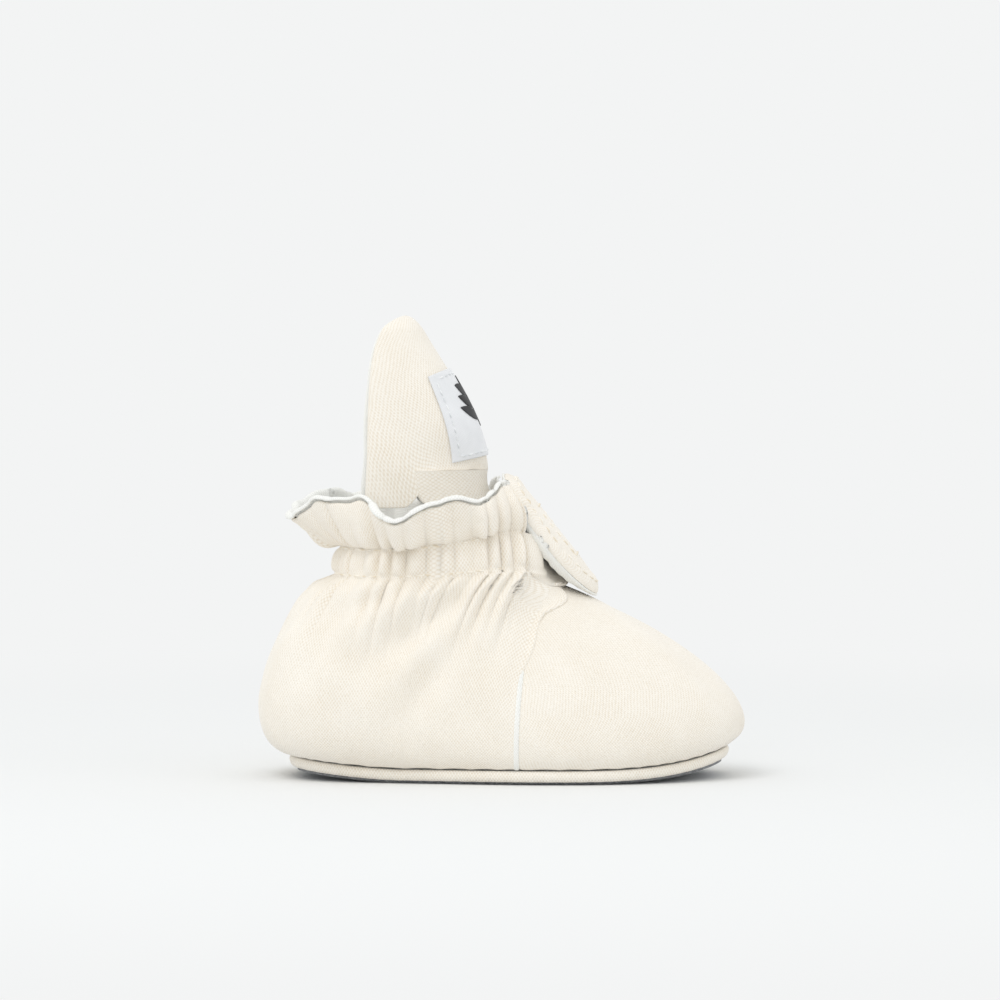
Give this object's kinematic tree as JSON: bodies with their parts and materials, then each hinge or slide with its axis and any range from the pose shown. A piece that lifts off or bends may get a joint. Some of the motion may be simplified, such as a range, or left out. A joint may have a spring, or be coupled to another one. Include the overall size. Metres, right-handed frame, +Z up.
{
  "type": "baby bootie",
  "caption": "Soft padded baby bootie with a gathered elastic ankle, ruffled collar, tall folding tongue with a woven label, front tab that closes with hook-and-loop, and a soft grip sole.",
  "frame": {"origin": "centre of the bounding box in plan, on the surface that the sole rests on", "axes": "+X towards the toe, +Z up, +Y towards the side that the tab is sewn to"},
  "size_m": [0.1186, 0.0572, 0.1124],
  "materials": {
    "cream_jersey": "matt undyed cotton interlock knit with fine vertical ribs",
    "lining_jersey": "matt bleached cotton interlock knit",
    "wadding": "soft non-woven polyester wadding, hidden",
    "elastic": "braided elastic, hidden in the casing",
    "hook_and_loop": "hook-and-loop tape",
    "label_satin": "light grey woven satin with a soft sheen",
    "motif_thread": "black woven thread",
    "white_thread": "polyester sewing thread",
    "cream_thread": "polyester sewing thread",
    "grip_cloth": "grey cloth with small non-slip dots"
  },
  "bodies": {
    "bootie": {"outsole": "grip_cloth", "sole_edge_band": "cream_jersey", "sole_padding": "wadding", "insole_lining": "lining_jersey", "vamp_outer": "cream_jersey", "vamp_padding": "wadding", "vamp_lining": "lining_jersey", "quarter_outer": "cream_jersey", "quarter_lining": "lining_jersey", "side_seam_edge_near": "lining_jersey", "side_seam_edge_far": "lining_jersey", "gathered_band_outer": "cream_jersey", "ankle_elastic": "elastic", "gathered_band_lining": "lining_jersey", "band_stitch_lower": "cream_thread", "band_stitch_upper": "cream_thread", "ruffle_outer": "cream_jersey", "ruffle_lining": "lining_jersey", "front_underlap_outer": "cream_jersey", "front_underlap_lining": "lining_jersey", "loop_patch": "hook_and_loop", "tab_root": "cream_jersey", "tongue_lower_outer": "cream_jersey", "tongue_lower_padding": "wadding", "tongue_lower_lining": "lining_jersey"},
    "tab": {"tab_outer": "cream_jersey", "tab_padding": "wadding", "tab_lining": "lining_jersey", "hook_patch": "hook_and_loop", "tab_topstitch": "cream_thread", "patch_stitching": "cream_thread"},
    "tongue_top": {"tongue_upper_outer": "cream_jersey", "tongue_upper_padding": "wadding", "tongue_upper_lining": "lining_jersey", "woven_label": "label_satin", "label_stitching": "white_thread", "label_motif": "motif_thread"}
  },
  "joints": [
    {"name": "tab_open", "type": "hinge", "parent": "bootie", "child": "tab", "pos_m": [0.01142, 0.01285, 0.06054], "axis": [-0.6129, 0, 0.7902], "range_deg": [0, 110]},
    {"name": "tongue_fold", "type": "hinge", "parent": "bootie", "child": "tongue_top", "pos_m": [-0.00312, 0, 0.075], "axis": [0, 1, 0], "range_deg": [0, 90]}
  ]
}
